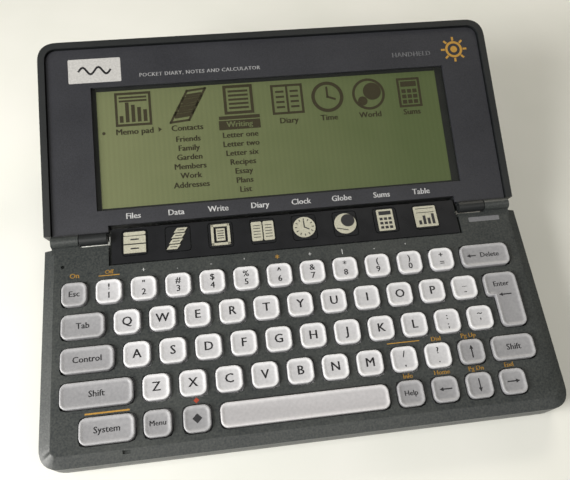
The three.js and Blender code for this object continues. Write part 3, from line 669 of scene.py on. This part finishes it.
def key_print(key, x, y, z, half_width):
    """The legend of a shaped key."""
    if key == "space":
        return []
    if key in ("left", "right", "up", "down"):
        turn = {"right": 0, "up": 90, "left": 180, "down": -90}[key]
        return [arrow(x, y, z, 4.2, turn)]
    if key == "diamond":
        return [disc(x, y, 1.5, z, z + PRINT, 4)]
    if key == "delete":
        return [arrow(x - half_width + 3.6, y, z, 3.2, 180), lettering("Delete", WORD_SIZE, x + 1.6, y, z)]
    if key == "enter":
        return [lettering("Enter", WORD_SIZE, x, y + 5.4, z), arrow(x + 0.6, y + 1.6, z, 4.4, 180)]
    narrow = half_width < KEY_WIDTH / 2 + 0.2 and len(LEGEND_WORDS[key]) > 3
    size = NARROW_CAPTION_SIZE if narrow else CAPTION_SIZE
    return [lettering(LEGEND_WORDS[key], size, x, y, z)]


def shaped_keys():
    """The caps that aren't part of a row: Enter is stepped, and the rest are plain oblongs."""
    for node in sorted(name for name in frame["nodes"] if name.endswith("_key")):
        key = node.removesuffix("_key")
        points = node_points(node, DECK)
        (x0, x1), (y0, y1), top = cap_corners(points)
        corners, radius = box_corners(x0, x1, y0, y1), KEY_CORNER
        if key == "enter":
            step = y1 - KEY_DEPTH
            foot = min(point.x for point in points if point.z > ABOVE_WEB and point.y < step - 1)
            corners = [(foot, y0), (x1, y0), (x1, y1), (x0, y1), (x0, step), (foot, step)]
            radius = [KEY_CORNER] * 4 + [STEP_CORNER, 0]
        web = slab(x0 - WEB_REACH, x1 + WEB_REACH, y1 - KEY_DEPTH / 2, y1 + WEB_REACH, WEB_BOTTOM, WEB_TOP)
        cap = gather([web, key_cap(corners, top, radius)])
        finish, slot = (SPACE_ABS, "space_cap") if key == "space" else (FUNCTION_ABS, "function_cap")
        make_piece(f"{key}_cap", cap, finish, node, DECK, (node,))
        prints = key_print(key, (x0 + x1) / 2, (y0 + y1) / 2, top + DISH, (x1 - x0) / 2)
        if prints:
            make_piece(f"{key}_legend", gather(prints), KEY_INK, node, DECK)


# ---------- printing on the deck ----------

DECK_TOP = 12.0
SMALL_SIZE = 2.1
KEY_PITCH = 11.24


def deck_printing():
    """Legends on the deck: above the digits, above the arrows and above the front row."""
    above_numbers = 60.3
    above_arrow = 25.9
    above_front = 15.3
    first_digit = -61.2
    comma = 31.7
    z = DECK_TOP
    gold = [lettering("On", SMALL_SIZE * 1.15, -72.4, above_numbers, z),
            slab(first_digit - 3.4, first_digit + 3.4, above_numbers - 0.9, above_numbers - 0.6,
                 z, z + PRINT),
            lettering("Off", SMALL_SIZE, first_digit, above_numbers + 0.4, z),
            slab(-68.9, -55.5, 14.7, 15.2, z, z + PRINT),
            slab(comma - 4.8, comma + 6.0, above_arrow + 0.3, above_arrow + 0.6, z, z + PRINT),
            lettering("Dial", SMALL_SIZE, comma + 11.6, above_arrow + 0.4, z),
            lettering("Pg Up", SMALL_SIZE, comma + 22.6, above_arrow + 0.4, z),
            lettering("Info", SMALL_SIZE, comma, above_front, z),
            lettering("Home", SMALL_SIZE, comma + 11.2, above_front, z),
            lettering("Pg Dn", SMALL_SIZE, comma + 22.6, above_front, z),
            lettering("End", SMALL_SIZE, comma + 33.6, above_front, z),
            lettering("*", 3.2, first_digit + 5 * KEY_PITCH, above_numbers - 0.4, z)]
    marks = {1: "+", 2: ".", 3: "-", 4: "'", 6: "+", 7: "|", 8: "-", 9: "'"}
    white = [lettering(mark, SMALL_SIZE, first_digit + i * KEY_PITCH, above_numbers, z)
             for i, mark in marks.items()]
    red = [disc(-35.3, above_front + 0.1, 0.9, z, z + PRINT, 4)]
    grey = [slab(64.6, 75.9, 66.9, 68.7, z, z + PRINT, 0.3)]
    make_piece("deck_gold_print", gather(gold), GOLD_INK, "base", DECK)
    make_piece("deck_white_print", gather(white), WHITE_INK, "base", DECK)
    make_piece("deck_red_print", gather(red), RED_INK, "base", DECK)
    make_piece("deck_grey_print", gather(grey), GREY_INK, "base", DECK)


# ---------- application buttons ----------

# Each sign returns its raised beige shapes and the dark marks printed on them.

def drawer_sign(x, y, z, t):
    beige = [slab(x - 3.7, x + 3.7, y + 2.6, y + 3.9, z, z + t, 0.5),
             slab(x - 3.7, x + 3.7, y - 0.4, y + 2.3, z, z + t),
             slab(x - 3.7, x + 3.7, y - 3.9, y - 0.9, z, z + t)]
    dark = [slab(x - 1.4, x + 1.4, y + 0.8, y + 1.3, z + t, z + t + PRINT),
            slab(x - 1.4, x + 1.4, y - 2.6, y - 2.1, z + t, z + t + PRINT)]
    return beige, dark


def cards_sign(x, y, z, t):
    leaning = [(-2.6, -0.8), (1.0, -0.8), (2.2, 0.8), (-1.4, 0.8)]
    beige, dark = [], []
    for i in range(4):
        shift, lift = 0.9 * i - 1.4, 2.05 * i - 3.05
        card = flat_outline([(x + u + shift, y + v + lift) for u, v in leaning], 0, z)
        raise_outline(card, t)
        beige.append(card)
        dark.append(stroke([(x - 1.2 + shift, y + lift), (x + 0.9 + shift, y + lift)], z + t, 0.25))
    return beige, dark


def page_sign(x, y, z, t):
    edge = box_corners(x - 2.8, x + 2.8, y - 3.5, y + 3.5)
    beige = [stroke(edge, z, 0.9, t, closed=True), slab(x - 1.5, x + 1.5, y - 2.3, y + 2.3, z, z + t)]
    dark = [slab(x - 1.1, x + 1.1, y + dy, y + dy + 0.3, z + t, z + t + PRINT)
            for dy in (-1.5, -0.6, 0.3, 1.2)]
    return beige, dark


def book_sign(x, y, z, t):
    beige = [slab(x - 3.9, x - 0.2, y - 3.6, y + 3.6, z, z + t, 0.5),
             slab(x + 0.2, x + 3.9, y - 3.6, y + 3.6, z, z + t, 0.5)]
    dark = [slab(x + side - 1.2, x + side + 1.2, y + dy, y + dy + 0.25, z + t, z + t + PRINT)
            for side in (-2.05, 2.05) for dy in (-2.4, -1.3, -0.2, 0.9, 2.0)]
    return beige, dark


def clock_sign(x, y, z, t):
    ticks = rays(x, y, z + t, 2.7, 3.2, 0.3, 12)
    hands = [stroke([(x, y), (x, y + 2.2)], z + t, 0.4), stroke([(x, y), (x + 1.5, y - 0.9)], z + t, 0.4)]
    return [disc(x, y, 3.9, z, z + t)], ticks + hands


def globe_sign(x, y, z, t):
    dark = [disc(x + 1.0, y + 1.1, 2.4, z + t, z + t + PRINT),
            stroke([(x - 3.1, y - 1.6), (x + 0.6, y - 2.6)], z + t, 0.3)]
    return [disc(x, y, 3.9, z, z + t)], dark


def sums_sign(x, y, z, t):
    beige = [slab(x - 2.9, x + 2.9, y - 4.1, y + 4.1, z, z + t, 0.4)]
    dark = [slab(x - 2.2, x + 2.2, y + 1.9, y + 3.4, z + t, z + t + PRINT)]
    dark += [slab(x + dx, x + dx + 1.1, y + dy, y + dy + 1.0, z + t, z + t + PRINT)
             for dx in (-2.2, -0.6, 1.0) for dy in (-3.4, -1.75, -0.1)]
    return beige, dark


def table_sign(x, y, z, t):
    beige = [slab(x - 4.0, x + 4.0, y - 4.0, y + 4.0, z, z + t, 0.4)]
    dark = [slab(x - 3.2, x + 3.2, y + dy, y + dy + 0.22, z + t, z + t + PRINT) for dy in (1.4, 3.0)]
    dark += [slab(x - 2.8 + i * 1.6, x - 1.8 + i * 1.6, y - 3.1, y - 3.1 + height, z + t, z + t + PRINT)
             for i, height in enumerate((1.6, 3.4, 2.4, 4.0))]
    return beige, dark


BUTTON_SIGNS = (drawer_sign, cards_sign, page_sign, book_sign, clock_sign, globe_sign, sums_sign, table_sign)
SIGN_THICKNESS = 0.3


def app_buttons():
    """Each button is a dark film tile under a raised beige sign."""
    for i, sign in enumerate(BUTTON_SIGNS, start=1):
        node = f"app_button_{i}"
        points = node_points(node, DECK)
        (x0, x1), (y0, y1) = span(points, 0), span(points, 1)
        z0, z1 = span(points, 2)
        tile_top = z1 - SIGN_THICKNESS - PRINT
        make_piece(f"button_tile_{i}", slab(x0, x1, y0, y1, z0, tile_top, 0.9), STRIP_FILM, node, DECK,
                   (node,))
        beige, dark = sign((x0 + x1) / 2, (y0 + y1) / 2, tile_top, SIGN_THICKNESS)
        make_piece(f"button_sign_{i}", gather(beige), BUTTON_INK, node, DECK)
        make_piece(f"button_marks_{i}", gather(dark), KEY_INK, node, DECK)


# ---------- lid printing and display ----------

BEZEL_TOP = -1.0
GLASS_TOP = -2.5
SUN = (70.2, 61.4)
SEGMENT_Z = GLASS_TOP + 0.02     # just clear of the glass
LIST_STEP = 3.4
LIST_SIZE = 3.0
SEGMENT_WEIGHT = 0.035
BUTTON_MIDDLE = -1.6             # the middle of the row of eight buttons
BUTTON_PITCH = 14.57
BUTTON_X = [BUTTON_MIDDLE + (i - 3.5) * BUTTON_PITCH for i in range(8)]
WAVE_LEFT, WAVE_MIDDLE = -68.5, 61.7
WAVE_LENGTH = 5.5
WAVE_HEIGHT = 1.3
WAVE_STEPS = 11                  # points in one wave


def bezel_printing():
    """Button names under the display, and a word, a tagline, a badge and a sun above it."""
    z = BEZEL_TOP
    words = ("Files", "Data", "Write", "Diary", "Clock", "Globe", "Sums", "Table")
    labels = [lettering(word, 2.9, x, 7.3, z) for word, x in zip(words, BUTTON_X)]
    make_piece("bezel_labels", gather(labels), WHITE_INK, "lid", LID)
    kind = lettering("HANDHELD", 2.6, 53.5, 60.4, z, spacing=1.1)
    make_piece("bezel_kind_print", kind, GREY_INK, "lid", LID)
    tagline = lettering("POCKET DIARY, NOTES AND CALCULATOR", 2.0, -25.6, 58.9, z, spacing=1.12)
    make_piece("bezel_tagline", tagline, PALE_INK, "lid", LID)
    plate = slab(-72.2, -53.8, 57.1, 66.3, z, z + PRINT, 0.4)
    make_piece("badge_plate", plate, SILVER_INK, "lid", LID)
    wave = [(WAVE_LEFT + i * WAVE_LENGTH / WAVE_STEPS,
             WAVE_MIDDLE + WAVE_HEIGHT * math.sin(i * 2 * math.pi / WAVE_STEPS))
            for i in range(2 * WAVE_STEPS + 1)]
    make_piece("badge_print", stroke(wave, z + PRINT, 0.7), KEY_INK, "lid", LID)
    x, y = SUN
    sun = [ring(x, y, 3.3, 2.4, z, z + PRINT), disc(x, y, 1.3, z, z + PRINT)]
    sun += rays(x, y, z, 3.9, 4.6, 0.8, 8)
    make_piece("sun_emblem", gather(sun), GOLD_INK, "lid", LID)


def display_frame():
    """The dark ink border under the window, around the live area."""
    z0, z1 = SEGMENT_Z, GLASS_TOP + 0.1
    border = [slab(-66.2, -63.2, 8.5, 56.6, z0, z1), slab(61.8, 66.2, 8.5, 56.6, z0, z1),
              slab(-63.1, 61.7, 54.0, 56.6, z0, z1), slab(-63.1, 61.7, 8.5, 10.9, z0, z1)]
    make_piece("display_border", gather(border), FRAME_FILM, "lid", LID)


def box_frame(x0, x1, y0, y1, line):
    z = SEGMENT_Z
    return [slab(x0, x1, y0, y0 + line, z, z + PRINT), slab(x0, x1, y1 - line, y1, z, z + PRINT),
            slab(x0, x0 + line, y0 + line, y1 - line, z, z + PRINT),
            slab(x1 - line, x1, y0 + line, y1 - line, z, z + PRINT)]


def bars(x0, x1, heights, line):
    return [slab(x0, x1, y, y + line, SEGMENT_Z, SEGMENT_Z + PRINT) for y in heights]


def display_signs():
    """Seven pictures, left to right: chart, cards, page, book, clock, globe and calculator."""
    z = SEGMENT_Z
    book_lines = (43.2, 45.2, 47.2, 49.2)
    signs = box_frame(-56.9, -44.1, 40.4, 53.2, 0.9)
    signs += [slab(-55.4 + i * 2.1, -54.1 + i * 2.1, 41.9, 41.9 + height, z, z + PRINT)
              for i, height in enumerate((2.5, 7.5, 6.5, 5.5, 4.5))]
    signs += bars(-55.4, -45.6, (50.9, 49.6), 0.7)
    for i in range(4):
        left, low = -37.6 + 1.5 * i, 40.6 + 2.7 * i
        card = [(left, low), (left + 6.6, low + 0.6), (left + 8.6, low + 4.2), (left + 2.0, low + 3.6)]
        signs.append(stroke(card, z, 0.8, closed=True))
        signs.append(stroke([(left + 2.0, low + 1.9), (left + 6.8, low + 2.4)], z, 0.9))
    signs += box_frame(-18.2, -7.4, 42.2, 53.4, 1.1) + bars(-16.4, -9.2, (50.6, 49.0, 47.4, 45.8, 44.2), 0.8)
    signs += [slab(-20.4, -5.6, 40.3, 41.6, z, z + PRINT)]
    signs += box_frame(-0.8, 11.0, 40.8, 52.4, 0.9) + [slab(4.7, 5.5, 41.7, 51.5, z, z + PRINT)]
    signs += bars(0.9, 4.0, book_lines, 0.8) + bars(6.2, 9.3, book_lines, 0.8)
    signs += [ring(20.0, 46.4, 6.0, 4.7, z, z + PRINT), stroke([(20.0, 46.4), (20.0, 50.0)], z, 0.8),
              stroke([(20.0, 46.4), (22.6, 45.4)], z, 0.8)]
    signs += [ring(35.5, 46.4, 6.2, 5.2, z, z + PRINT), disc(36.9, 47.4, 3.4, z, z + PRINT),
              disc(33.0, 43.8, 1.8, z, z + PRINT)]
    signs += box_frame(46.6, 55.4, 40.2, 51.8, 0.9) + [slab(48.0, 54.0, 48.3, 50.4, z, z + PRINT)]
    signs += [slab(48.1 + i * 2.1, 49.7 + i * 2.1, 41.6 + j * 2.1, 43.1 + j * 2.1, z, z + PRINT)
              for i in range(3) for j in range(3)]
    return signs


def pointer(x, y, z):
    """A small filled triangle that points to the right."""
    marker = flat_outline([(x - 0.5, y - 0.9), (x + 0.7, y), (x - 0.5, y + 0.9)], 0, z)
    raise_outline(marker, PRINT)
    return marker


def display_words():
    """Captions, two open lists and an inverted caption: its bar and, above that, its word in field colour."""
    z = SEGMENT_Z
    captions = (("Memo pad", -50.4), ("Contacts", -31.9), ("Diary", 4.9), ("Time", 19.8), ("World", 35.2),
                ("Sums", 51.0))
    words = [lettering(text, 3.1, x, 38.3, z, weight=SEGMENT_WEIGHT) for text, x in captions]
    lists = ((-31.9, 34.1, ("Friends", "Family", "Garden", "Members", "Work", "Addresses")),
             (-13.2, 34.3, ("Letter one", "Letter two", "Letter six", "Recipes", "Essay", "Plans", "List")))
    words += [lettering(text, LIST_SIZE, x, top - i * LIST_STEP, z, weight=SEGMENT_WEIGHT)
              for x, top, lines in lists for i, text in enumerate(lines)]
    words += [slab(-20.6, -5.6, 36.4, 39.9, z, z + PRINT), disc(-61.2, 38.3, 0.6, z, z + PRINT, 12),
              pointer(-41.6, 38.4, z)]
    return words, lettering("Writing", LIST_SIZE, -13.1, 38.3, z + PRINT, weight=0.03)


def display_content():
    words, inverted = display_words()
    make_piece("display_pictures", gather(display_signs()), SEGMENT_INK, "lid", LID)
    make_piece("display_words", gather(words), SEGMENT_INK, "lid", LID)
    make_piece("display_inverted_word", inverted, DISPLAY_GLASS, "lid", LID)


# ---------- table, light and camera ----------

TABLE_HALF = 3                   # metres


def table():
    bm = bmesh.new()
    bmesh.ops.create_grid(bm, x_segments=1, y_segments=1, size=TABLE_HALF)
    mesh = bpy.data.meshes.new("table_top")
    bm.to_mesh(mesh)
    bm.free()
    mesh.materials.append(table_paint("table_paint"))
    top = bpy.data.objects.new("table_top", mesh)
    bpy.context.scene.collection.objects.link(top)


def area_light(name, place, target, size, watts, tint, spread_deg):
    light = bpy.data.lights.new(name, "AREA")
    light.shape = "RECTANGLE"
    light.size, light.size_y = size
    light.energy = watts
    light.spread = math.radians(spread_deg)
    light.color = colour(tint)[:3]
    lamp = bpy.data.objects.new(name, light)
    lamp.location = place
    lamp.rotation_euler = (Vector(target) - Vector(place)).to_track_quat("-Z", "Y").to_euler()
    bpy.context.scene.collection.objects.link(lamp)


def studio_light():
    area_light("window_light", (-0.5, -0.2, 0.3), (0, -0.05, 0), (0.3, 0.3), 2.5, "FFFDF8", 125)
    area_light("room_fill", (0.1, -0.5, 0.9), (0, 0, 0), (0.8, 0.5), 2.6, "FFFDF8", 180)
    area_light("lamp_behind", (0.3, 0.55, 0.5), (0.2, 0.25, 0), (0.3, 0.2), 0.7, "FFF8E8", 120)
    world = bpy.data.worlds.new("room")
    world.use_nodes = True
    background = world.node_tree.nodes["Background"]
    background.inputs["Color"].default_value = colour("EFEBDD")
    background.inputs["Strength"].default_value = 0.17
    bpy.context.scene.world = world


FOCAL = 41.96                    # millimetres
SENSOR = 36
SHIFT = (-0.0173, -0.0175)
EYE = (-22.54, -26.17, 220.88)   # deck millimetres
RIGHT = (0.99026, -0.12578, 0.05969)   # the camera's own axes, as deck directions
UP = (0.08881, 0.90088, 0.42489)


def camera():
    lens = bpy.data.cameras.new("camera")
    lens.lens = FOCAL
    lens.sensor_width = SENSOR
    lens.shift_x, lens.shift_y = SHIFT
    eye = bpy.data.objects.new("camera", lens)
    turn = DECK.to_3x3().normalized()
    right = (turn @ Vector(RIGHT)).normalized()
    up = turn @ Vector(UP)
    back = right.cross(up).normalized()
    up = back.cross(right)
    axes = Matrix((right, up, back)).transposed()
    eye.matrix_world = Matrix.Translation(DECK @ Vector(EYE)) @ axes.to_4x4()
    bpy.context.scene.collection.objects.link(eye)
    bpy.context.scene.camera = eye


camera()
table()
studio_light()
finish_frame_nodes()
soften_shells()
grip_ribs()
rating_label()
letter_rows()
shaped_keys()
deck_printing()
app_buttons()
bezel_printing()
display_frame()
display_content()

bpy.context.scene.view_settings.view_transform = "Standard"
